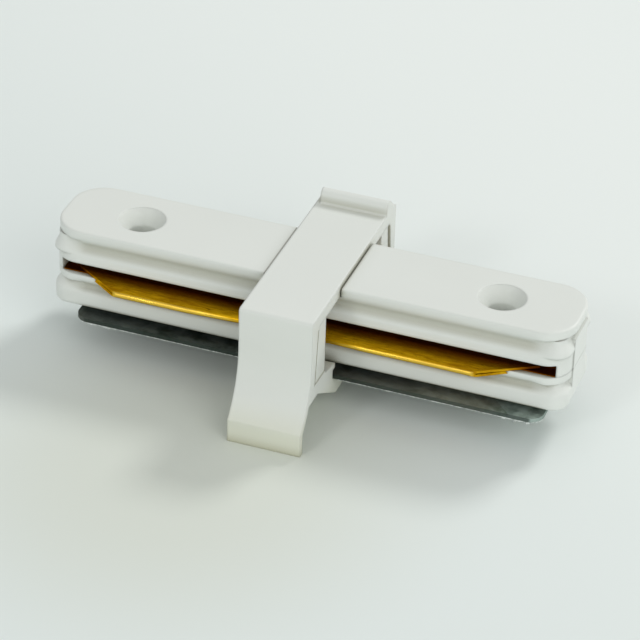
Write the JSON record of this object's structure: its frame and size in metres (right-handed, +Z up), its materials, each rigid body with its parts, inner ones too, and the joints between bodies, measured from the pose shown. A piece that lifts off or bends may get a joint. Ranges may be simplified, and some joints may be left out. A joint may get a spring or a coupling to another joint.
{
  "type": "lighting track connector",
  "caption": "Straight connector bar for surface lighting track, with side contact strips, a bridging collar with flared feet, and a clamping plate drawn up by captive screws.",
  "frame": {"origin": "middle of the part in plan, on the level of the two feet", "axes": "+X along the bar, towards the arm on the right in the picture; +Y across the bar, towards the lip on the collar; +Z up, from the fixing plate to the cover plate"},
  "size_m": [0.0632, 0.035, 0.0176],
  "materials": {
    "white_plastic": "fine moulded satin, rounded edges",
    "brass": "rolled sheet, slightly dulled",
    "zinc_steel": "galvanised sheet with sheared edges",
    "screw_steel": "zinc plated"
  },
  "bodies": {
    "connector": {"upper_housing": "white_plastic", "lower_housing": "white_plastic", "collar": "white_plastic", "contact_strip_front": "brass", "contact_strip_rear": "brass"},
    "plate": {"fixing_plate": "zinc_steel"},
    "screw_left": {"clamp_screw_left": "screw_steel"},
    "screw_right": {"clamp_screw_right": "screw_steel"}
  },
  "joints": [
    {"name": "clamp_screw_left_turn", "type": "hinge", "parent": "connector", "child": "screw_left", "pos_m": [-0.0221, 0, 0.0075], "axis": [0, 0, -1], "range_deg": [0, 360]},
    {"name": "clamp_screw_right_turn", "type": "hinge", "parent": "connector", "child": "screw_right", "pos_m": [0.0221, 0, 0.0075], "axis": [0, 0, -1], "range_deg": [0, 360]},
    {"name": "plate_lift", "type": "slide", "parent": "connector", "child": "plate", "axis": [0, 0, 1], "range_m": [0, 0.0005]}
  ],
  "couplings": [
    {"joint": "clamp_screw_left_turn", "follows": "plate_lift", "rad_per_m": 12566},
    {"joint": "clamp_screw_right_turn", "follows": "plate_lift", "rad_per_m": 12566}
  ]
}
